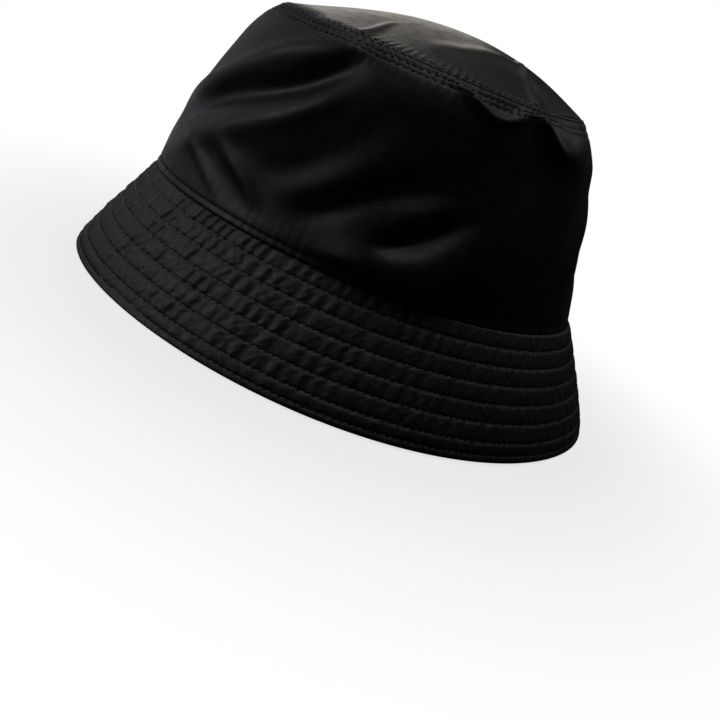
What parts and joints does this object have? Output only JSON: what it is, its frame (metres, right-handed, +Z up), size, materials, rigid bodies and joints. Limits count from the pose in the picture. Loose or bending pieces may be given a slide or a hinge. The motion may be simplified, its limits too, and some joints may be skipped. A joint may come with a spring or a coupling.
{
  "type": "bucket hat",
  "caption": "Soft bucket hat with a domed lined crown and a steep brim stitched in concentric rows.",
  "frame": {"origin": "centre of the oval brim edge, on the plane that the edge stands on", "axes": "+Z up along the crown, -Y towards the wearer's face, +X towards the wearer's left"},
  "size_m": [0.2292, 0.2544, 0.1419],
  "materials": {
    "crown_cloth": "black nylon twill with a soft satin sheen",
    "brim_cloth": "black nylon twill, row-stitched and puckered",
    "interlining": "matte stiff interlining",
    "lining": "smooth black lining taffeta",
    "sweatband": "matte black ribbed band",
    "thread": "black polyester thread with a slight shine"
  },
  "bodies": {
    "root": {"crown_tip": "crown_cloth", "crown_side": "crown_cloth", "brim_upper": "brim_cloth", "brim_interlining": "interlining", "brim_under": "brim_cloth", "lining_tip": "lining", "lining_side": "lining", "sweatband": "sweatband", "tip_stitch": "thread", "side_stitch_1": "thread", "side_stitch_2": "thread", "foot_stitch": "thread", "back_stitch_left": "thread", "back_stitch_right": "thread", "brim_stitch_1": "thread", "brim_stitch_2": "thread", "brim_stitch_3": "thread", "brim_stitch_4": "thread", "brim_stitch_5": "thread", "brim_stitch_6": "thread", "brim_edge_stitch": "thread", "sweatband_stitch": "thread"}
  },
  "joints": []
}
